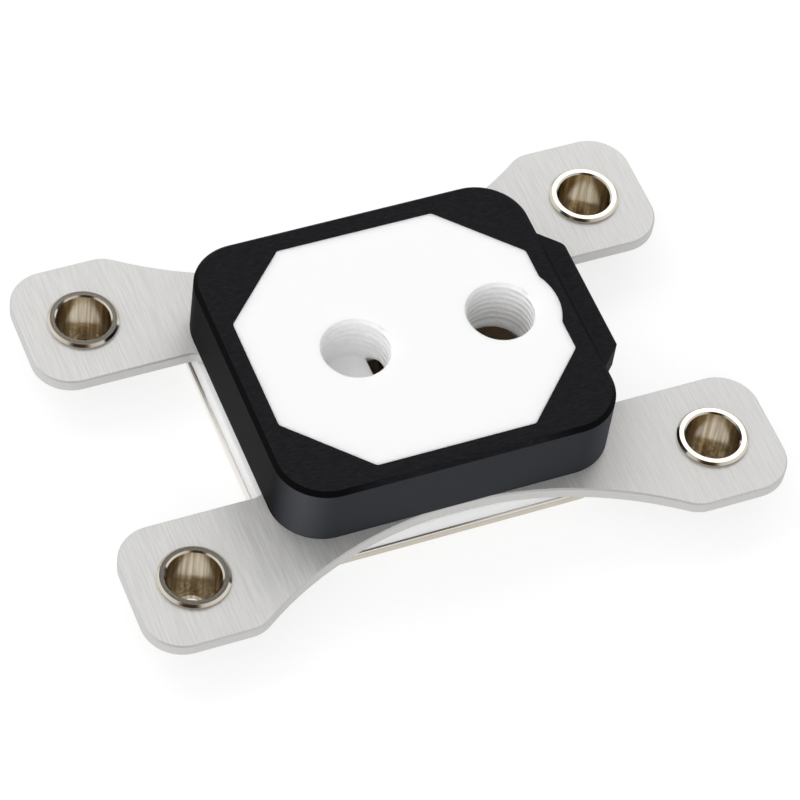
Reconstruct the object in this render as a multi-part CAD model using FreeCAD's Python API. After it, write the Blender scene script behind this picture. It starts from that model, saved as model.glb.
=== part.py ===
import FreeCAD, Part
import math
import os
from FreeCAD import Vector

# Liquid cooling cold plate for a processor socket. All lengths are in millimetres.
# Z is up, X runs along the long side of the bracket and Y towards its rear.
# The origin lies under the middle of the bracket, level with the feet of the four bushings.

# Stack of plates, from the cold plate up to the cover frame
plate_lift = 2.1            # underside of the cold plate above the bushings' feet
plate_thickness = 1.5
flange_thickness = 3.85
bracket_thickness = 2.5
frame_height = 12.5

# Bushings, pressed into the arms on the hole pattern of the socket
socket_spacing_x = 94.0
socket_spacing_y = 56.0
bushing_bore = 9.42
bushing_wall = 0.85
bushing_fit = 0.02
bushing_floor = 1.0
bushing_screw_hole = 5.4
bushing_lip = 0.64          # reach of the flange beyond the wall
bushing_flange_height = 0.86
bushing_rim_width = 0.78    # flat ring between the inner and the outer chamfer of the flange
bushing_rim_chamfer = 0.42
bushing_foot_chamfer = 0.5

# Mounting bracket, one plate with an arm round each bushing
arm_end = 11.05             # from a bushing's axis to the end of its arm
arm_side = 12.45            # from a bushing's axis to the outer side of its arm
arm_width = 24.7
arm_corner = 7.0
waist_inset = 0.05          # bottom of each concave arc, inside the side of the cover frame
waist_radius = 66.0
waist_blend = 6.0           # round between an arc and the end of an arm
bay_corner = 3.0
bracket_web = 2.0           # metal left between a side bay and the middle opening
bracket_edge = 0.25         # deburred edge
opening_clearance = 0.3     # middle opening round the boss

# Cover frame
frame_length = 61.0
frame_width = 55.1
frame_end_wall = 3.67
frame_side_wall = 3.94
frame_corner = 9.0
frame_chamfer = 0.8
frame_gap = 0.04            # between the frame and the boss inside it
ledge_reach = 4.2
ledge_inset = 16.05         # ends of the ledge's face, from the sides of the frame
ledge_drop = 1.6            # top of the ledge below the top of the frame
ledge_height = 5.8
ledge_front_corner = 0.4
ledge_rear_corner = 2.0
ledge_root = 2.5            # hollow round where the ledge meets the frame
ledge_edge = 0.35

# Coolant body: flange, and boss that passes up through bracket and frame
flange_step_x = 0.1         # flange beyond the frame, at each end
flange_step_y = 0.05        # and at each side
body_corner = 8.0           # of the flange and of the cold plate under it
seam_chamfer = 0.3
boss_cut = 12.6             # legs of the boss's 45 degree corner cuts
boss_corner = 1.0
boss_shift = -0.32          # middle of the boss from the middle of the bracket, along Y
bulge_root = 1.6

# Ports and passages
port_bore = 11.7
port_lead = 0.4             # chamfer at the mouth of a port
port_spacing = 26.4
outlet_inset = 9.18         # outlet's axis from the end of the boss
outlet_wall = 4.65          # wall of the bulge round the outlet
inlet_depth = 9.15
inlet_floor_round = 0.8
outlet_depth = 11.65
throat_bite = 1.9           # how far the throat cuts into the inlet's floor
throat_floor_width = 7.9
throat_roof_width = 3.8
throat_rise = 1.15          # roof of the throat above the inlet's floor
chamber_length = 7.2
inlet_floor_wall = 1.0      # left between the inlet's floor and the chamber under it
land_width = 3.0            # seal land round the inlet chamber
gallery_height = 2.8
gallery_side = 3.0          # gallery beside the seal land
cavity_end_wall = 10.4      # from the line of the base seal to the cavity's end
cavity_side_wall = 2.5      # and to its side
cavity_corner = 2.0
outlet_room_end = 1.9       # slot under the outlet, beyond its bore along X
outlet_room_side = 8.15     # and along Y

# Cold plate with its fins
plate_step = 0.4            # cold plate beyond the body's flange
fin_room = 2.5              # between the fins and the cavity's walls
fin_height = 2.2
fin_pitch = 0.8
fin_thickness = 0.4

# Jet plate over the fins
jet_thickness = 0.8
jet_overhang = 0.2          # beyond the ends of the fins
jet_side_gap = 0.2
jet_slot_width = 1.2
jet_slot_inset = 2.4        # slot from the far end of the inlet chamber
jet_slot_end = 0.5          # chamber beyond each end of the slot

# Seals
base_seal_end = 2.7         # line of the base seal from the end of the flange
base_seal_side = 4.6        # and from the row of base screws
base_seal_corner = 10.0
base_seal_cord = 1.5
inlet_seal_cord = 1.0
inlet_seal_corner = 1.5
seal_side_room = 0.25       # groove wider than the cord, on each side

# Screws
frame_screw_end = 5.5       # from the end of the frame to a screw's axis
frame_screw_side = 5.55     # and from its side
frame_screw_length = 12.0
frame_screw_shank = 3.0
frame_screw_head = 5.5
frame_screw_head_height = 2.0
frame_screw_seat = 2.4      # depth of the head's seat in the flange
frame_screw_socket = 2.0
frame_screw_tip_room = 1.5
base_screws_per_row = 4
base_screw_edge = 4.4       # row of base screws from the side of the cold plate
base_screw_gap = 7.0        # last base screw of a row from the frame screws, along X
base_screw_cover = 0.55     # flange left over the hole of a base screw
base_screw_shank = 2.0
base_screw_head = 3.8
base_screw_head_height = 0.95
base_screw_sink = 0.05      # head below the cold plate's underside
base_screw_socket = 1.3
base_screw_tip_room = 0.25
screw_clearance = 0.2       # round a shank or a head that passes freely
thread_clearance = 0.02     # round a threaded shank
seat_gap = 0.02             # between a countersunk head and its cone
socket_depth_share = 0.6    # of a screw head's height

# Levels, worked out from the stack
plate_bottom = plate_lift
plate_top = plate_bottom + plate_thickness
flange_top = plate_top + flange_thickness
bracket_top = flange_top + bracket_thickness
frame_top = bracket_top + frame_height
fin_top = plate_top + fin_height
jet_top = fin_top + jet_thickness
inlet_floor = frame_top - inlet_depth
chamber_height = inlet_floor - inlet_floor_wall - jet_top
outlet_roof = frame_top - outlet_depth

# Outlines, worked out from the socket's pattern and from the cover frame
bracket_length = socket_spacing_x + 2 * arm_end
bracket_width = socket_spacing_y + 2 * arm_side
bay_width = bracket_width - 2 * arm_width
waist_width = frame_width - 2 * waist_inset
ledge_length = frame_width - 2 * ledge_inset
boss_length = frame_length - 2 * frame_end_wall
boss_width = frame_width - 2 * frame_side_wall
body_length = frame_length + 2 * flange_step_x
body_width = frame_width + 2 * flange_step_y
plate_length = body_length + 2 * plate_step
plate_width = body_width + 2 * plate_step

# Places inside, worked out from those outlines
outlet_x = boss_length / 2 - outlet_inset
inlet_x = outlet_x - port_spacing
bulge_radius = port_bore / 2 + outlet_wall
chamber_x = inlet_x + port_bore / 2 - throat_bite
chamber_end_x = chamber_x + chamber_length
frame_screw_x = frame_length / 2 - frame_screw_end
frame_screw_y = frame_width / 2 - frame_screw_side
base_screw_x = frame_screw_x - base_screw_gap
base_screw_y = plate_width / 2 - base_screw_edge
base_screw_length = (plate_thickness + flange_thickness
                     - base_screw_sink - base_screw_tip_room - base_screw_cover)
base_seal_length = body_length - 2 * base_seal_end
base_seal_width = 2 * (base_screw_y - base_seal_side)
cavity_length = base_seal_length - 2 * cavity_end_wall
cavity_width = base_seal_width - 2 * cavity_side_wall
chamber_width = cavity_width - 2 * (gallery_side + land_width)
fin_length = cavity_length - 2 * fin_room
fin_field_width = cavity_width - 2 * fin_room

PAST = 1.0                  # how far a cutting tool runs past the face that it cuts
SIDES = (-1, 1)
CORNERS = {"front_left": (-1, -1), "front_right": (1, -1), "rear_left": (-1, 1), "rear_right": (1, 1)}


def outline(corners, z):
    """Closed face through (x, y, radius) corners in order, each rounded by a tangent arc."""
    count = len(corners)
    arcs = []
    for index in range(count):
        x, y, radius = corners[index]
        here = Vector(x, y, z)
        before = Vector(corners[index - 1][0], corners[index - 1][1], z)
        after = Vector(corners[(index + 1) % count][0], corners[(index + 1) % count][1], z)
        back = (before - here).normalize()
        ahead = (after - here).normalize()
        half_angle = back.getAngle(ahead) / 2
        if radius <= 0:
            arcs.append((here, here, here))
            continue
        run = radius / math.tan(half_angle)
        middle = (back + ahead).normalize() * (radius / math.sin(half_angle) - radius)
        arcs.append((here + back * run, here + middle, here + ahead * run))
    edges = []
    for index in range(count):
        start, middle, end = arcs[index]
        if start != end:
            edges.append(Part.Arc(start, middle, end).toShape())
        following = arcs[(index + 1) % count][0]
        if end.distanceToPoint(following) > 1e-6:
            edges.append(Part.LineSegment(end, following).toShape())
    return Part.Face(Part.Wire(edges))


def slab(corners, bottom, top):
    """Upright solid over an outline, from one level to another."""
    return outline(corners, bottom).extrude(Vector(0, 0, top - bottom))


def rectangle(length, width, radius, x=0.0, y=0.0):
    """Corners of a rectangle about x, y, with equal rounds."""
    half_x = length / 2
    half_y = width / 2
    signs = ((-1, -1), (1, -1), (1, 1), (-1, 1))
    return [(x + sx * half_x, y + sy * half_y, radius) for sx, sy in signs]


def span(x_low, x_high, width, radius):
    """Corners of a rectangle between two X values, centred on the X axis."""
    return rectangle(x_high - x_low, width, radius, (x_low + x_high) / 2)


def rod(diameter, x, y, bottom, top):
    """Upright cylinder from one level to another."""
    return Part.makeCylinder(diameter / 2, top - bottom, Vector(x, y, bottom))


def turned(profile, x, y):
    """Solid turned about an upright axis from (radius, level) points."""
    points = [Vector(radius, 0, level) for radius, level in profile]
    face = Part.Face(Part.makePolygon(points + points[:1]))
    solid = face.revolve(Vector(0, 0, 0), Vector(0, 0, 1), 360)
    solid.translate(Vector(x, y, 0))
    return solid


def upright_edges(solid, wanted):
    """Upright edges of a solid whose X and Y pass the test."""
    found = []
    for edge in solid.Edges:
        ends = [vertex.Point for vertex in edge.Vertexes]
        if len(ends) != 2:
            continue
        run = ends[1] - ends[0]
        if math.hypot(run.x, run.y) < 1e-6 and abs(run.z) > 1e-6 and wanted(ends[0].x, ends[0].y):
            found.append(edge)
    return found


def edges_at(solid, level, wanted=None):
    """Edges of a solid that lie flat at one level, and whose middle passes the test."""
    found = []
    for edge in solid.Edges:
        box = edge.BoundBox
        if abs(box.ZMin - level) > 1e-6 or abs(box.ZMax - level) > 1e-6:
            continue
        middle = edge.valueAt((edge.FirstParameter + edge.LastParameter) / 2)
        if wanted is None or wanted(middle):
            found.append(edge)
    return found


def cord_ring(corners, cord, level):
    """Round cord that runs once round an outline, lying on a level."""
    path = outline(corners, level + cord / 2).OuterWire
    start = path.OrderedEdges[0]
    place = start.valueAt(start.FirstParameter)
    along = start.tangentAt(start.FirstParameter)
    section = Part.Wire(Part.Circle(place, along, cord / 2).toShape())
    return path.makePipeShell([section], True, True)


def groove(corners, width, bottom, top):
    """Ring-shaped groove of one width along an outline."""
    middle = outline(corners, bottom)
    outer = middle.makeOffset2D(width / 2)
    inner = middle.makeOffset2D(-width / 2)
    return outer.cut(inner).extrude(Vector(0, 0, top - bottom))


def hexagon(across_flats, x, y, bottom, top):
    """Upright hexagonal prism, for the key socket of a screw."""
    reach = across_flats / math.sqrt(3)
    angles = [math.radians(60 * step) for step in range(6)]
    corners = [(x + reach * math.cos(a), y + reach * math.sin(a), 0) for a in angles]
    return slab(corners, bottom, top)


def boss(bottom, top, grow=0.0):
    """Octagonal boss with its bulge round the outlet, made larger all round by grow."""
    half_x = boss_length / 2 + grow
    half_y = boss_width / 2 + grow
    cut = boss_cut + grow * (2 - math.sqrt(2))
    corners = []
    for sx, sy in ((-1, -1), (1, -1), (1, 1), (-1, 1)):
        on_end = (sx * half_x, boss_shift + sy * (half_y - cut), boss_corner + grow)
        on_side = (sx * (half_x - cut), boss_shift + sy * half_y, boss_corner + grow)
        corners += [on_end, on_side] if sx == sy else [on_side, on_end]
    octagon = slab(corners, bottom, top)
    bulge = rod(2 * (bulge_radius + grow), outlet_x, boss_shift, bottom, top)
    solid = octagon.fuse(bulge).removeSplitter()
    roots = upright_edges(solid, lambda x, y: abs(x - half_x) < 1e-4 and abs(y - boss_shift) < bulge_radius)
    return solid.makeFillet(bulge_root - grow, roots)


def at_corners(half_x, half_y):
    """Places of four like pieces, by the name of their corner."""
    return {name: (sx * half_x, sy * half_y) for name, (sx, sy) in CORNERS.items()}


def frame_screw_places():
    """Places of the four long screws, by name."""
    return at_corners(frame_screw_x, frame_screw_y)


def bushing_places():
    """Places of the four bushings, by name."""
    return at_corners(socket_spacing_x / 2, socket_spacing_y / 2)


def base_screw_places():
    """Places of the short screws, in two rows."""
    pitch = 2 * base_screw_x / (base_screws_per_row - 1)
    columns = [index * pitch - base_screw_x for index in range(base_screws_per_row)]
    return [(x, side * base_screw_y) for side in SIDES for x in columns]


def make_cover_frame():
    """Milled frame round the boss, with a ledge where the outlet's bulge thins its wall."""
    shell = slab(rectangle(frame_length, frame_width, frame_corner), bracket_top, frame_top)
    shell = shell.makeChamfer(frame_chamfer, edges_at(shell, frame_top))

    wall = frame_length / 2
    face = wall + ledge_reach
    half = ledge_length / 2
    root = half + ledge_reach
    beyond = root + ledge_root
    inside = wall - ledge_root
    ledge_top = frame_top - ledge_drop
    ledge = slab([
        (inside, -beyond, 0), (wall, -beyond, 0), (wall, -root, ledge_root),
        (face, -half, ledge_front_corner), (face, half, ledge_rear_corner),
        (wall, root, ledge_root), (wall, beyond, 0), (inside, beyond, 0),
    ], ledge_top - ledge_height, ledge_top)
    rim = edges_at(ledge, ledge_top, lambda middle: middle.x > wall + 1e-3)
    ledge = ledge.makeChamfer(ledge_edge, rim)

    frame = shell.fuse(ledge).removeSplitter()
    frame = frame.cut(boss(bracket_top - PAST, frame_top + PAST, frame_gap))
    reach = frame_screw_length - (flange_thickness - frame_screw_seat) - bracket_thickness
    hole_top = bracket_top + reach + frame_screw_tip_room
    for x, y in frame_screw_places().values():
        hole = rod(frame_screw_shank + 2 * thread_clearance, x, y, bracket_top - PAST, hole_top)
        frame = frame.cut(hole)
    return frame


def make_mounting_bracket():
    """Flat bracket with two side bays, two concave waists and a middle opening for the boss."""
    plate = slab(rectangle(bracket_length, bracket_width, arm_corner), flange_top, bracket_top)
    half_x = bracket_length / 2
    half_y = bracket_width / 2
    left_floor = -(boss_length / 2 + opening_clearance + bracket_web)
    right_floor = outlet_x + bulge_radius + opening_clearance + bracket_web
    far = half_x + PAST
    plate = plate.cut(slab(span(-far, left_floor, bay_width, 0), flange_top - PAST, bracket_top + PAST))
    plate = plate.cut(slab(span(right_floor, far, bay_width, 0), flange_top - PAST, bracket_top + PAST))
    arc_y = waist_width / 2 + waist_radius
    for side in SIDES:
        plate = plate.cut(rod(2 * waist_radius, 0, side * arc_y, flange_top - PAST, bracket_top + PAST))

    waist_end = math.sqrt(waist_radius ** 2 - (arc_y - half_y) ** 2)
    mouths = upright_edges(plate, lambda x, y: abs(abs(x) - half_x) < 1e-4 and abs(y) < half_y - arm_corner - PAST)
    plate = plate.makeFillet(arm_corner, mouths)
    floors = upright_edges(plate, lambda x, y: min(abs(x - left_floor), abs(x - right_floor)) < 1e-4)
    plate = plate.makeFillet(bay_corner, floors)
    waists = upright_edges(plate, lambda x, y: abs(abs(x) - waist_end) < 1e-3 and abs(abs(y) - half_y) < 1e-3)
    plate = plate.makeFillet(waist_blend, waists)
    plate = plate.makeChamfer(bracket_edge, edges_at(plate, bracket_top) + edges_at(plate, flange_top))

    plate = plate.cut(boss(flange_top - PAST, bracket_top + PAST, opening_clearance))
    seat = bushing_bore + 2 * (bushing_wall + bushing_fit)
    for x, y in bushing_places().values():
        plate = plate.cut(rod(seat, x, y, flange_top - PAST, bracket_top + PAST))
    for x, y in frame_screw_places().values():
        hole = rod(frame_screw_shank + 2 * screw_clearance, x, y, flange_top - PAST, bracket_top + PAST)
        plate = plate.cut(hole)
    return plate


def make_bushing(x, y):
    """Turned cup that stands on its foot: flange on the bracket, floor with a screw hole."""
    bore = bushing_bore / 2
    shank = bore + bushing_wall
    screw = bushing_screw_hole / 2
    flange = shank + bushing_lip
    rim = bracket_top + bushing_flange_height
    ring_outer = flange - bushing_rim_chamfer
    ring_inner = ring_outer - bushing_rim_width
    inner_drop = ring_inner - bore
    profile = [
        (screw, 0), (shank - bushing_foot_chamfer, 0), (shank, bushing_foot_chamfer), (shank, bracket_top),
        (flange, bracket_top), (flange, rim - bushing_rim_chamfer), (ring_outer, rim), (ring_inner, rim),
        (bore, rim - inner_drop), (bore, bushing_floor), (screw, bushing_floor),
    ]
    return turned(profile, x, y)


def inlet_seal_path():
    """Line of the inlet seal, in the middle of its land round the inlet chamber."""
    low = chamber_x - land_width / 2
    high = chamber_end_x + land_width / 2
    return span(low, high, chamber_width + land_width, inlet_seal_corner)


def base_seal_path():
    """Line of the base seal, between the cavity and the screws."""
    return rectangle(base_seal_length, base_seal_width, base_seal_corner)


def cut_passages(body):
    """Ports, throat, chambers and the return gallery, as they are milled from above and below."""
    bore = port_bore / 2
    for x, floor in ((inlet_x, inlet_floor), (outlet_x, outlet_roof - PAST)):
        port = rod(port_bore, x, boss_shift, floor, frame_top + PAST)
        if x == inlet_x:
            port = port.makeFillet(inlet_floor_round, edges_at(port, floor))
        lead = port_lead + PAST
        funnel = Part.makeCone(bore, bore + lead, lead, Vector(x, boss_shift, frame_top - port_lead))
        body = body.cut(port).cut(funnel)

    chamber_top = jet_top + chamber_height
    half_floor = throat_floor_width / 2
    half_roof = throat_roof_width / 2
    roof = inlet_floor + throat_rise
    section = [(half_floor, chamber_top - PAST), (half_floor, inlet_floor), (half_roof, roof)]
    ring = [(boss_shift + y, z) for y, z in section] + [(boss_shift - y, z) for y, z in reversed(section)]
    points = [Vector(chamber_x, y, z) for y, z in ring]
    throat = Part.Face(Part.makePolygon(points + points[:1])).extrude(Vector(chamber_end_x - chamber_x, 0, 0))
    body = body.cut(throat)

    cavity = slab(rectangle(cavity_length, cavity_width, cavity_corner), plate_top - PAST, jet_top)
    gallery = slab(rectangle(cavity_length, cavity_width, cavity_corner), jet_top - PAST, jet_top + gallery_height)
    land = slab(span(chamber_x - land_width, chamber_end_x + land_width, chamber_width + 2 * land_width,
                     inlet_seal_corner + land_width / 2), jet_top, frame_top)
    chamber = slab(span(chamber_x, chamber_end_x, chamber_width, inlet_seal_corner / 2), plate_top, chamber_top)
    room_length = port_bore + 2 * outlet_room_end
    room_width = port_bore + 2 * outlet_room_side
    room_corner = min(room_length, room_width) / 2
    room = slab(rectangle(room_length, room_width, room_corner, outlet_x, boss_shift),
                plate_top - PAST, outlet_roof)
    return body.cut(cavity).cut(gallery.cut(land)).cut(chamber).cut(room)


def make_coolant_body():
    """White body: flange under the bracket and boss up to the frame's top, with all passages."""
    flange = slab(rectangle(body_length, body_width, body_corner), plate_top, flange_top)
    flange = flange.makeChamfer(seam_chamfer, edges_at(flange, plate_top))
    body = cut_passages(flange.fuse(boss(flange_top, frame_top)).removeSplitter())

    base_groove = base_seal_cord + 2 * seal_side_room
    inlet_groove = inlet_seal_cord + 2 * seal_side_room
    body = body.cut(groove(base_seal_path(), base_groove, plate_top, plate_top + base_seal_cord))
    body = body.cut(groove(inlet_seal_path(), inlet_groove, jet_top, jet_top + inlet_seal_cord))

    seat = frame_screw_head + 2 * screw_clearance
    shank = frame_screw_shank + 2 * screw_clearance
    for x, y in frame_screw_places().values():
        body = body.cut(rod(seat, x, y, plate_top - PAST, plate_top + frame_screw_seat))
        body = body.cut(rod(shank, x, y, plate_top, flange_top + PAST))
    hole_top = plate_bottom + base_screw_sink + base_screw_length + base_screw_tip_room
    for x, y in base_screw_places():
        body = body.cut(rod(base_screw_shank + 2 * thread_clearance, x, y, plate_top - PAST, hole_top))
    return body


def make_cold_plate():
    """Base plate with fine upright fins over its middle, and countersunk screw holes."""
    plate = slab(rectangle(plate_length, plate_width, body_corner), plate_bottom, plate_top)
    plate = plate.makeChamfer(seam_chamfer, edges_at(plate, plate_top))
    fins = []
    count = int((fin_field_width - fin_thickness) / fin_pitch) + 1
    for index in range(count):
        y = (index - (count - 1) / 2) * fin_pitch - fin_thickness / 2
        fins.append(Part.makeBox(fin_length, fin_thickness, fin_height, Vector(-fin_length / 2, y, plate_top)))
    plate = plate.fuse(fins)
    shank = base_screw_shank / 2 + screw_clearance
    seat = base_screw_head / 2 + seat_gap
    slope = (base_screw_head - base_screw_shank) / 2 / base_screw_head_height
    mouth = seat + base_screw_sink * slope
    cone_top = plate_bottom + base_screw_sink + (seat - shank) / slope
    for x, y in base_screw_places():
        hole = turned([(0, plate_bottom - PAST), (mouth, plate_bottom - PAST), (mouth, plate_bottom),
                       (shank, cone_top), (shank, plate_top + PAST), (0, plate_top + PAST)], x, y)
        plate = plate.cut(hole)
    return plate


def make_jet_plate():
    """Thin plate on the fins, with the slot that spreads the coolant over them."""
    length = fin_length + 2 * jet_overhang
    width = cavity_width - 2 * jet_side_gap
    plate = slab(rectangle(length, width, 0), fin_top, jet_top)
    slot_x = chamber_end_x - jet_slot_inset
    slot = rectangle(jet_slot_width, chamber_width - 2 * jet_slot_end, 0, slot_x)
    return plate.cut(slab(slot, fin_top - PAST, jet_top + PAST))


def make_frame_screw(x, y):
    """Cap screw from below: head in the flange, thread in the cover frame."""
    seat = plate_top + frame_screw_seat
    bottom = seat - frame_screw_head_height
    depth = frame_screw_head_height * socket_depth_share
    screw = rod(frame_screw_head, x, y, bottom, seat).fuse(
        rod(frame_screw_shank, x, y, seat, seat + frame_screw_length)).removeSplitter()
    return screw.cut(hexagon(frame_screw_socket, x, y, bottom - PAST, bottom + depth))


def make_base_screw(x, y):
    """Countersunk screw from below: head in the cold plate, thread in the body."""
    bottom = plate_bottom + base_screw_sink
    head = base_screw_head / 2
    shank = base_screw_shank / 2
    depth = base_screw_head_height * socket_depth_share
    screw = turned([(0, bottom), (head, bottom), (shank, bottom + base_screw_head_height),
                    (shank, bottom + base_screw_length), (0, bottom + base_screw_length)], x, y)
    return screw.cut(hexagon(base_screw_socket, x, y, bottom - PAST, bottom + depth))


def make_parts():
    """Every piece of the assembly, by node name."""
    parts = {
        "cover_frame": make_cover_frame(),
        "mounting_bracket": make_mounting_bracket(),
        "coolant_body": make_coolant_body(),
        "cold_plate": make_cold_plate(),
        "jet_plate": make_jet_plate(),
        "inlet_seal": cord_ring(inlet_seal_path(), inlet_seal_cord, jet_top),
        "base_seal": cord_ring(base_seal_path(), base_seal_cord, plate_top),
    }
    for name, (x, y) in bushing_places().items():
        parts["bushing_" + name] = make_bushing(x, y)
    for name, (x, y) in frame_screw_places().items():
        parts["frame_screw_" + name] = make_frame_screw(x, y)
    for index, (x, y) in enumerate(base_screw_places()):
        parts["base_screw_%d" % (index + 1)] = make_base_screw(x, y)
    return parts


os.makedirs("parts", exist_ok=True)
for node, solid in make_parts().items():
    solid.exportStep("parts/" + node + ".step")
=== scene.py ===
import math

import bmesh
import bpy
from mathutils import Matrix, Vector


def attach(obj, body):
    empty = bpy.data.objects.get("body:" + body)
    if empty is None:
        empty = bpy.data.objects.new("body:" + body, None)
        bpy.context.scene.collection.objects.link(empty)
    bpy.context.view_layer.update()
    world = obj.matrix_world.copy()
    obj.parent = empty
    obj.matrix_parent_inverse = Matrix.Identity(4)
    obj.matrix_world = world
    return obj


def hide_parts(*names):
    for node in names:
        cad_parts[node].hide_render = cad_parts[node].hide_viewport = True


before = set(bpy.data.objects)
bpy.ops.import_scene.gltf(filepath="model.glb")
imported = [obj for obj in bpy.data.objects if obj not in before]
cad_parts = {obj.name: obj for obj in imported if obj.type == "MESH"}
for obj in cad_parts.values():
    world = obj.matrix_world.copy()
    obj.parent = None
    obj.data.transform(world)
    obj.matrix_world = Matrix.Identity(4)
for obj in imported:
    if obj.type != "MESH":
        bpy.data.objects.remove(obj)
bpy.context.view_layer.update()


# Mounting bracket: one flat steel plate, 2.5 mm thick, cut to its outline with four arms and
# brushed from front to rear. The cover frame's screws pass through it, and its arms hold the
# bushings.
class Wire:
    """A node's output. Sums, products and comparisons with it add their Math nodes."""

    def __init__(self, tree, socket=None):
        self.tree = tree
        self.socket = socket

    def node(self, kind, settings=None, sockets=None, output=0):
        """Adds a node of any kind: its settings first, then the values or links of its sockets."""
        node = self.tree.nodes.new("ShaderNode" + kind)
        for name, value in (settings or {}).items():
            setattr(node, name, value)
        for name, value in (sockets or {}).items():
            if isinstance(value, Wire):
                self.tree.links.new(value.socket, node.inputs[name])
            elif isinstance(value, tuple) and node.inputs[name].type == "RGBA":
                node.inputs[name].default_value = (*value, 1.0)
            else:
                node.inputs[name].default_value = value
        return Wire(self.tree, node.outputs[output] if len(node.outputs) else None)

    def math(self, operation, first, second=0.0):
        return self.node("Math", {"operation": operation}, {0: first, 1: second})

    def vector(self, operation, first, second=(0.0, 0.0, 0.0), output=0):
        return self.node("VectorMath", {"operation": operation}, {0: first, 1: second}, output)

    def along(self, spot, axis):
        return self.node("SeparateXYZ", sockets={0: spot}, output=axis)

    def ramp(self, value, low, high, start=0.0, end=1.0):
        """Goes smoothly from start to end while the value goes from low to high."""
        return self.node("MapRange", {"interpolation_type": "SMOOTHSTEP"}, {
            "Value": value, "From Min": low, "From Max": high, "To Min": start, "To Max": end})

    def __add__(self, other):
        return self.math("ADD", self, other)

    def __radd__(self, other):
        return self.math("ADD", other, self)

    def __sub__(self, other):
        return self.math("SUBTRACT", self, other)

    def __rsub__(self, other):
        return self.math("SUBTRACT", other, self)

    def __mul__(self, other):
        return self.math("MULTIPLY", self, other)

    def __rmul__(self, other):
        return self.math("MULTIPLY", other, self)

    def __gt__(self, other):
        return self.math("GREATER_THAN", self, other)

    def __lt__(self, other):
        return self.math("LESS_THAN", self, other)

    def place(self, scale=(1.0, 1.0, 1.0)):
        """Object coordinates: metres, or cells of a pattern where a scale is given."""
        spot = self.node("TexCoord", output="Object")
        return self.node("Mapping", {"vector_type": "POINT"}, {"Vector": spot, "Scale": scale})

    def noise(self, cells, detail=3.0, roughness=0.5, spot=None):
        """Noise between 0 and 1 with so many cells per metre along X, Y and Z."""
        if spot is None:
            spot = self.place(cells)
        else:
            spot = self.vector("MULTIPLY", spot, cells)
        return self.node("TexNoise", {"noise_dimensions": "3D"}, {
            "Vector": spot, "Scale": 1.0, "Detail": detail, "Roughness": roughness})

    def blend(self, share, first, second):
        """Colour that goes from the first to the second as the share goes from 0 to 1."""
        return self.node("Mix", {"data_type": "RGBA"}, {
            "Factor": share, "A": first, "B": second}, output="Result")

    def bump(self, height, depth, strength=1.0):
        return self.node("Bump", sockets={
            "Height": height, "Distance": depth, "Strength": strength})

    def surface(self, sockets):
        """The finish's one shader, joined to the material's output."""
        shader = self.node("BsdfPrincipled", sockets=sockets)
        self.node("OutputMaterial", sockets={"Surface": shader})


def finish_of(name):
    """A new material with no nodes yet, and a wire to add them to it."""
    material = bpy.data.materials.new(name)
    material.use_nodes = True
    material.node_tree.nodes.clear()
    return material, Wire(material.node_tree)


def dress(piece, material):
    """Gives a piece one finish all over, in place of what it had."""
    piece.data.materials.clear()
    piece.data.materials.append(material)


MM = 0.001
bracket_middle = 8.7 * MM
sawn_half = 1.2 * MM
brushing_depth = 0.012 * MM


def brushed_steel():
    """Fine streaks from front to rear, and a plainer, duller sawn edge all round."""
    material, wire = finish_of("brushed_bracket_steel")
    long_streaks = wire.noise((2600.0, 105.0, 2600.0), detail=3.0, roughness=0.65)
    streaks = wire.ramp(long_streaks, 0.3, 0.7)
    fine = wire.noise((7000.0, 180.0, 7000.0), detail=2.0)
    off_middle = wire.math("ABSOLUTE", wire.along(wire.place(), "Z") - bracket_middle)
    sawn_edge = off_middle < sawn_half
    tone = 0.6 * streaks + 0.4 * fine
    tone = tone + sawn_edge * (0.25 + 0.3 * fine - tone)
    wire.surface({
        "Base Color": wire.blend(tone, (0.52, 0.515, 0.505), (0.70, 0.695, 0.68)),
        "Metallic": 0.6, "Roughness": 0.48 + 0.12 * streaks,
        "Normal": wire.bump(tone, brushing_depth)})
    return material


dress(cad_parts["mounting_bracket"], brushed_steel())


# Bushings: four flanged cups turned from brass and plated with nickel, pressed into the arms.
# They stand on their feet, and a spring-loaded screw goes through the floor of each.
bushing_axis = (47.0 * MM, 28.0 * MM)
bore_reach = 4.73 * MM
outer_wall_start = 5.4 * MM
bracket_top = 9.95 * MM
turning_depth = 0.006 * MM


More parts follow.
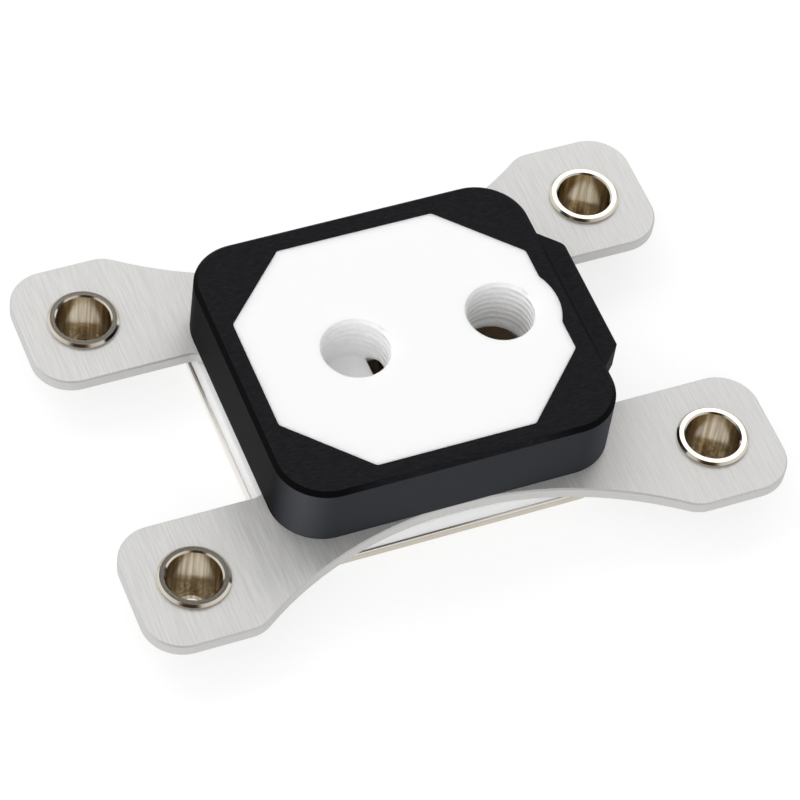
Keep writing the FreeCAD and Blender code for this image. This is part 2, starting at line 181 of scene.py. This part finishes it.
def turned_nickel():
    """Rings left by the lathe: a bright flange, a brown drawn bore whose darkness is partly painted
    shade, and a rougher outer wall below the bracket's top, painted darker as shade.
    """
    material, wire = finish_of("turned_nickel")
    around = wire.vector("ABSOLUTE", wire.place())
    height = wire.along(around, "Z")
    off_axis = wire.vector("SUBTRACT", around, (*bushing_axis, 0.0))
    off_axis = wire.vector("MULTIPLY", off_axis, (1.0, 1.0, 0.0))
    radius = wire.vector("LENGTH", off_axis, output="Value")
    turned = wire.node("CombineXYZ", sockets={"X": radius, "Y": height})
    rings = wire.noise((4200.0, 4200.0, 0.0), detail=3.0, roughness=0.6, spot=turned)
    drawn = wire.noise((1500.0, 1500.0, 60.0), detail=3.0, roughness=0.55)
    drawn = wire.ramp(drawn, 0.34, 0.7)
    bore = radius < bore_reach
    outer_wall = (radius > outer_wall_start) * (height < bracket_top)
    bright = wire.blend(rings, (0.62, 0.565, 0.475), (0.69, 0.645, 0.565))
    # The bore's darker brown is partly the brass's own tone and partly painted shade inside the
    # cup.
    brown = wire.blend(drawn, (0.40, 0.33, 0.225), (0.70, 0.625, 0.50))
    # Painted shade: the outer wall below the bracket's top, under the arms, is coloured darker than
    # the flange.
    wall_shade = wire.blend(rings, (0.33, 0.30, 0.255), (0.46, 0.43, 0.375))
    wire.surface({
        "Base Color": wire.blend(bore, wire.blend(outer_wall, bright, wall_shade), brown),
        "Metallic": 1.0, "Roughness": 0.1 + 0.08 * rings + 0.16 * outer_wall + 0.05 * bore,
        "Normal": wire.bump(rings, turning_depth)})
    return material


nickel = turned_nickel()
for corner in ("front_left", "front_right", "rear_left", "rear_right"):
    dress(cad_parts["bushing_" + corner], nickel)


# Coolant body: one block of white acetal, milled from above and below, whose flange is clamped
# under the bracket. Both ports are tapped with the standard quarter inch pipe thread.
body_top = 22.45 * MM
port_y = -0.32 * MM
port_x = {"inlet": -8.75 * MM, "outlet": 17.65 * MM}
thread_end = {"inlet": 15.4 * MM, "outlet": 12.0 * MM}
thread_pitch = 1.337 * MM
thread_root = 6.5 * MM
thread_inner = 5.6 * MM
thread_flank = math.radians(27.5)
steps_per_turn = 48
merge_distance = 0.0005 * MM
sharp_angle = math.radians(20.0)
level_normal = 0.999
translucent_depth = 1.5 * MM
milling_depth = 0.003 * MM


def thread_cutter(x, end):
    """Closed helix of triangular section, from above the port's mouth down to a level."""
    start = body_top + thread_pitch
    half = (thread_root - thread_inner) * math.tan(thread_flank)
    turns = (start - end) / thread_pitch
    steps = round(turns * steps_per_turn)
    section = ((thread_inner, -half), (thread_root, 0.0), (thread_inner, half))
    mesh = bmesh.new()
    tooth = [mesh.verts.new((x + radius, port_y, start + rise)) for radius, rise in section]
    bmesh.ops.spin(mesh, geom=[mesh.faces.new(tooth)], cent=(x, port_y, 0.0), axis=(0.0, 0.0, 1.0),
                   dvec=(0.0, 0.0, (end - start) / steps), angle=turns * math.tau, steps=steps)
    bmesh.ops.recalc_face_normals(mesh, faces=mesh.faces)
    data = bpy.data.meshes.new("thread_cutter")
    mesh.to_mesh(data)
    mesh.free()
    return data


def cut_away(mesh, cutters):
    """A copy of a CAD node's mesh, its doubles merged, less the volumes of other meshes."""
    solid = bmesh.new()
    solid.from_mesh(mesh)
    bmesh.ops.remove_doubles(solid, verts=solid.verts, dist=merge_distance)
    merged = bpy.data.meshes.new(mesh.name + "_tapped")
    solid.to_mesh(merged)
    solid.free()
    piece = bpy.data.objects.new(merged.name, merged)
    bpy.context.scene.collection.objects.link(piece)
    tools = []
    for cutter in cutters:
        tool = bpy.data.objects.new(cutter.name, cutter)
        bpy.context.scene.collection.objects.link(tool)
        difference = piece.modifiers.new("thread", "BOOLEAN")
        difference.operation = "DIFFERENCE"
        difference.solver = "EXACT"
        difference.object = tool
        tools.append(tool)
    bpy.context.view_layer.update()
    evaluated = piece.evaluated_get(bpy.context.evaluated_depsgraph_get())
    result = bpy.data.meshes.new_from_object(evaluated)
    piece.modifiers.clear()
    piece.data = result
    for tool in tools:
        bpy.data.objects.remove(tool)
    result.shade_smooth()
    result.set_sharp_from_angle(angle=sharp_angle)
    for face in result.polygons:
        if abs(face.normal.z) > level_normal:
            face.use_smooth = False
    return piece


def white_acetal():
    """Faintly cloudy and slightly translucent, with a very fine milled surface."""
    material, wire = finish_of("white_acetal")
    cloud = wire.noise((220.0, 220.0, 220.0), detail=3.0)
    fine = wire.noise((5000.0, 5000.0, 5000.0), detail=2.0)
    wire.surface({
        "Base Color": wire.blend(cloud, (0.984, 0.984, 0.984), (0.991, 0.991, 0.989)),
        "Subsurface Weight": 0.9, "Subsurface Radius": (1.0, 1.0, 1.0),
        "Subsurface Scale": translucent_depth, "Roughness": 0.38 + 0.08 * fine,
        "Normal": wire.bump(fine, milling_depth, 0.6)})
    return material


tapped_body = cut_away(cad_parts["coolant_body"].data, [
    thread_cutter(port_x[port], thread_end[port]) for port in ("inlet", "outlet")])
dress(tapped_body, white_acetal())
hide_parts("coolant_body")
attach(tapped_body, "root")


# Cover frame: a ring of black acetal milled all over, screwed down on the bracket from below.
# A stepped ledge on its right side makes room for the outlet's bulge, and a chamfer runs round
# its top.
corner_axis = (21.5 * MM, 18.55 * MM)
top_face_start = 21.6 * MM
ledge_side = 31.3 * MM
ledge_face_start = 20.8 * MM
chamfer_foot = 21.66 * MM
chamfer_head = 22.42 * MM
chamfer_shade_fade = (12.0 * MM, 22.0 * MM)
frame_side = 30.49 * MM
cutter_depth = 0.004 * MM


def black_acetal():
    """Milled marks on the top, front and rear sides painted lighter as sheen, ends painted darker
    as shade, a painted highlight down each upright corner, and the chamfer painted near black
    towards the ends as shade.
    """
    material, wire = finish_of("black_acetal")
    grain = wire.noise((2600.0, 2600.0, 2600.0), detail=3.0)
    cutter_marks = wire.noise((700.0, 3200.0, 3200.0), detail=4.0, roughness=0.7)
    cutter_marks = wire.ramp(cutter_marks, 0.35, 0.75)
    spot = wire.place()
    side = wire.along(spot, "X")
    height = wire.along(spot, "Z")
    out = wire.math("ABSOLUTE", side)
    past_x = wire.math("MAXIMUM", out - corner_axis[0], 0.0)
    off_side = wire.math("ABSOLUTE", wire.along(spot, "Y")) - corner_axis[1]
    past_y = wire.math("MAXIMUM", off_side, 0.0)
    turn = wire.math("ARCTAN2", past_y, past_x)
    ledge_face = (side > ledge_side) * (height > ledge_face_start)
    top = wire.math("MAXIMUM", height > top_face_start, ledge_face)
    # Painted shade: the chamfer round the top is coloured near black towards the ends, fading out
    # towards the middle of the front and rear.
    chamfer = (height > chamfer_foot) * (height < chamfer_head) * (out < frame_side)
    chamfer = chamfer * wire.ramp(out, *chamfer_shade_fade)

    # Painted sheen: the front and rear sides are coloured lighter than the top and the ends, with a
    # random grain.
    milled = wire.blend(grain, (0.026, 0.0275, 0.032), (0.034, 0.036, 0.041))
    # Painted shade: the left and right ends are coloured darker than the front and rear, the left
    # end darkest.
    end_shade = wire.blend(side > 0.0, (0.004, 0.004, 0.005), (0.013, 0.0135, 0.016))
    # Painted highlight: a lighter band down each upright corner, fading into the ends.
    corner_highlight = wire.blend(wire.ramp(turn, 0.0, 0.8), end_shade, (0.060, 0.064, 0.073))
    side_colour = wire.blend(wire.ramp(turn, 0.8, 1.5), corner_highlight, milled)
    top_colour = wire.blend(cutter_marks, (0.0075, 0.0075, 0.009), (0.016, 0.016, 0.0185))
    colour = wire.blend(top, side_colour, top_colour)
    # The base colour ends in the chamfer's painted shade, near black.
    wire.surface({
        "Base Color": wire.blend(chamfer, colour, (0.0015, 0.0015, 0.002)),
        "Roughness": 0.64 + 0.12 * grain, "Specular IOR Level": 0.06,
        "Normal": wire.bump(grain + 0.5 * cutter_marks, cutter_depth, 0.8)})
    return material


dress(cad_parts["cover_frame"], black_acetal())


# Cold plate: milled from copper with a field of fins on its upper side, nickel plated outside
# and screwed to the body from below. A fine dark line with tiny dots is painted on its top
# along the body as the seam's shadow.
upper_side_start = 3.55 * MM
wetted_half = (27.0 * MM, 18.0 * MM)
seam_half = (30.82 * MM, 27.82 * MM)
end_start = 30.4 * MM
front_start = 27.9 * MM
front_fade = (-2.0 * MM, 10.0 * MM)
end_fade = (9.0 * MM, 15.0 * MM)
seam_pitch = 0.42 * MM


def plated_copper():
    """Nickel outside, with the long front and rear sides painted darker beige as shade, bare copper
    inside, and a dotted line of painted shadow along the seam.
    """
    material, wire = finish_of("plated_copper")
    grain = wire.noise((300.0, 3000.0, 300.0), detail=3.0)
    spot = wire.place()
    around = wire.vector("ABSOLUTE", spot)
    out_x = wire.along(around, "X")
    out_y = wire.along(around, "Y")
    upper = wire.along(around, "Z") > upper_side_start
    wetted = (out_x < wetted_half[0]) * (out_y < wetted_half[1]) * upper
    under_body = (out_x < seam_half[0]) * (out_y < seam_half[1]) * upper
    # Painted shadow along the seam: a dark dotted line on the plate's top beside the body,
    # strongest on the left of the long sides and at the rear of the ends.
    along_front = wire.ramp(wire.along(spot, "X"), *front_fade, 0.9, 0.15)
    along_end = wire.ramp(wire.along(spot, "Y"), *end_fade, 0.06, 0.9)
    seam_shadow_fade = along_front + (out_x > end_start) * (along_end - along_front)
    dots = wire.math("SINE", (out_x + out_y) * (math.tau / seam_pitch))
    dots = wire.ramp(dots, -0.5, 0.5)
    seam = under_body * seam_shadow_fade * (0.6 + 0.4 * dots)

    nickel_tone = wire.blend(grain, (0.82, 0.79, 0.74), (0.90, 0.88, 0.84))
    # Painted shade: the long front and rear sides are coloured darker beige than the nickel of the
    # ends.
    long_side_shade = wire.blend(grain, (0.52, 0.465, 0.385), (0.66, 0.61, 0.53))
    copper_tone = wire.blend(grain, (0.60, 0.46, 0.31), (0.74, 0.60, 0.44))
    outside = wire.blend(out_y > front_start, nickel_tone, long_side_shade)
    # The seam's painted shadow, near black.
    outside = wire.blend(seam, outside, (0.03, 0.02, 0.012))
    wire.surface({
        "Base Color": wire.blend(wetted, outside, copper_tone), "Metallic": 1.0,
        "Roughness": 0.26 + 0.1 * grain})
    return material


dress(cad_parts["cold_plate"], plated_copper())


# Jet plate: a thin sheet of bare copper that lies on the fins under the body. Its one slot
# spreads the coolant from the inlet over them.
def plain_metal(name, colour, roughness):
    """Bare metal of one colour with a fine uneven gloss."""
    material, wire = finish_of(name)
    grain = wire.noise((1500.0, 1500.0, 1500.0), detail=2.0)
    wire.surface({"Base Color": colour, "Metallic": 1.0, "Roughness": roughness + 0.1 * grain})
    return material


dress(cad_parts["jet_plate"], plain_metal("bare_copper", (0.78, 0.64, 0.48), 0.35))


# Seals: two rings of black rubber cord. One lies in the body round the inlet's chamber, and the
# other between the body and the cold plate.
def seal_rubber():
    """Nearly black, with a fine dull grain."""
    material, wire = finish_of("seal_rubber")
    grain = wire.noise((3000.0, 3000.0, 3000.0), detail=2.0)
    wire.surface({"Base Color": (0.015, 0.015, 0.016), "Roughness": 0.55 + 0.15 * grain})
    return material


rubber = seal_rubber()
for seal in ("inlet_seal", "base_seal"):
    dress(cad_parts[seal], rubber)


# Screws, of stainless steel: four hold the cover frame, the bracket and the body together, and
# eight countersunk ones hold the cold plate to the body. All are driven from below.
screw_steel = plain_metal("screw_steel", (0.62, 0.61, 0.60), 0.22)
for name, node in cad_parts.items():
    if name.startswith(("frame_screw", "base_screw")):
        dress(node, screw_steel)


# Floor: a plain pale sheet just under the bushings' feet. It shows white to the camera and in
# reflections, where it keeps a soft shadow of the object, and lights the object as a pale floor.
floor_size = 6.0
floor_drop = 0.02 * MM
floor_grey = (0.86, 0.86, 0.86)
shadowed_grey = (0.3, 0.3, 0.3)
glow_level = 0.74


def white_where_seen(wire):
    """One for the rays of the camera, of reflections and through glass, and nought for the rest."""
    camera_ray, glossy_ray, glass_ray = [wire.node("LightPath", output=name) for name in (
        "Is Camera Ray", "Is Glossy Ray", "Is Transmission Ray")]
    return wire.math("MINIMUM", camera_ray + glossy_ray + glass_ray, 1.0)


mesh = bmesh.new()
bmesh.ops.create_grid(mesh, x_segments=1, y_segments=1, size=floor_size / 2,
                      matrix=Matrix.Translation((0.0, 0.0, -floor_drop)))
floor_mesh = bpy.data.meshes.new("floor")
mesh.to_mesh(floor_mesh)
mesh.free()
floor = bpy.data.objects.new("floor", floor_mesh)
bpy.context.scene.collection.objects.link(floor)
floor_material, wire = finish_of("pale_floor")
lit = wire.node("BsdfDiffuse", sockets={"Color": floor_grey})
shadowed = wire.node("BsdfDiffuse", sockets={"Color": shadowed_grey})
glow = wire.node("Emission", sockets={"Color": (1.0, 1.0, 1.0), "Strength": glow_level})
seen = wire.node("AddShader", sockets={0: shadowed, 1: glow})
both = wire.node("MixShader", sockets={0: white_where_seen(wire), 1: lit, 2: seen})
wire.node("OutputMaterial", sockets={"Surface": both})
dress(floor, floor_material)


# Sky: a pale studio that lights the object most from the left. Reflections and the camera meet
# white instead, with a darker ceiling, a dark warm patch behind the camera and a small grey one
# between the two soft boxes.
sky_level = 0.72
bright_side = (-0.98, -0.2, 0.0)
bright_side_gain = 0.5
ceiling_level = 0.6
dark_patch = (-0.403, -0.736, 0.545)
dark_patch_level = 0.06
grey_patch = (0.232, 0.517, 0.824)
grey_patch_level = 0.2

world = bpy.data.worlds.new("studio")
bpy.context.scene.world = world
world.use_nodes = True
world.node_tree.nodes.clear()
sky = Wire(world.node_tree)
ray = sky.node("TexCoord", output="Generated")


def towards(direction):
    return sky.vector("DOT_PRODUCT", ray, direction, output="Value")


ceiling = sky.ramp(sky.along(ray, "Z"), 0.35, 0.7, 1.0, ceiling_level)
dark = sky.ramp(towards(dark_patch), 0.86, 0.98, 1.0, dark_patch_level)
grey = sky.ramp(towards(grey_patch), 0.985, 0.9995, 1.0, grey_patch_level)
soft = sky_level + bright_side_gain * towards(bright_side)
strength = soft + (ceiling * dark * grey - soft) * white_where_seen(sky)
warm = (1.0 - dark) * white_where_seen(sky)
colour = sky.blend(warm, (1.0, 1.0, 1.0), (1.0, 0.66, 0.36))
backdrop = sky.node("Background", sockets={"Color": colour, "Strength": strength})
sky.node("OutputWorld", sockets={"Surface": backdrop})


# Lamps: two square soft boxes above the object, and a weak round lamp behind the camera that
# reflections leave out, so that bright metal keeps its dark side.
soft_box_size = 0.7
soft_box_energy = 2.7
soft_box_places = ((0.64, 0.62, 0.8), (-0.28, 0.62, 0.8))
fill_size = 0.6
fill_energy = 1.5
fill_place = (-0.383, -0.699, 0.517)


def studio_lamp(name, shape, size, energy, place):
    """A flat lamp that shines straight down."""
    data = bpy.data.lights.new(name, "AREA")
    data.shape = shape
    data.size = size
    data.energy = energy
    lamp = bpy.data.objects.new(name, data)
    lamp.location = place
    bpy.context.scene.collection.objects.link(lamp)
    return lamp


for place in soft_box_places:
    studio_lamp("soft_lamp", "SQUARE", soft_box_size, soft_box_energy, place)
fill = studio_lamp("fill_lamp", "DISK", fill_size, fill_energy, fill_place)
fill.rotation_euler = (-fill.location).to_track_quat("-Z", "Y").to_euler()
fill.visible_glossy = False


# Camera: where it stood for the photograph, as fitted to the four bushings, and the way it
# looked, as azimuth, elevation and roll.
camera_place = Vector((-0.193524, -0.354788, 0.533023))
azimuth = math.radians(-28.754)
elevation = math.radians(52.605)
roll = math.radians(8.948)
back = Vector((math.sin(azimuth) * math.cos(elevation), -math.cos(azimuth) * math.cos(elevation),
               math.sin(elevation)))
level = (-back).cross(Vector((0.0, 0.0, 1.0))).normalized()
upright = level.cross(-back)
across = level * math.cos(roll) + upright * math.sin(roll)
upward = upright * math.cos(roll) - level * math.sin(roll)
facing = Matrix((across, upward, back)).transposed().to_4x4()
camera_data = bpy.data.cameras.new("camera")
camera_data.sensor_width = 36.0
camera_data.lens = 173.947
camera_data.clip_start = 0.05
camera_data.clip_end = 20.0
camera = bpy.data.objects.new("camera", camera_data)
camera.matrix_world = Matrix.Translation(camera_place) @ facing
bpy.context.scene.collection.objects.link(camera)
bpy.context.scene.camera = camera
bpy.context.scene.view_settings.view_transform = "Standard"
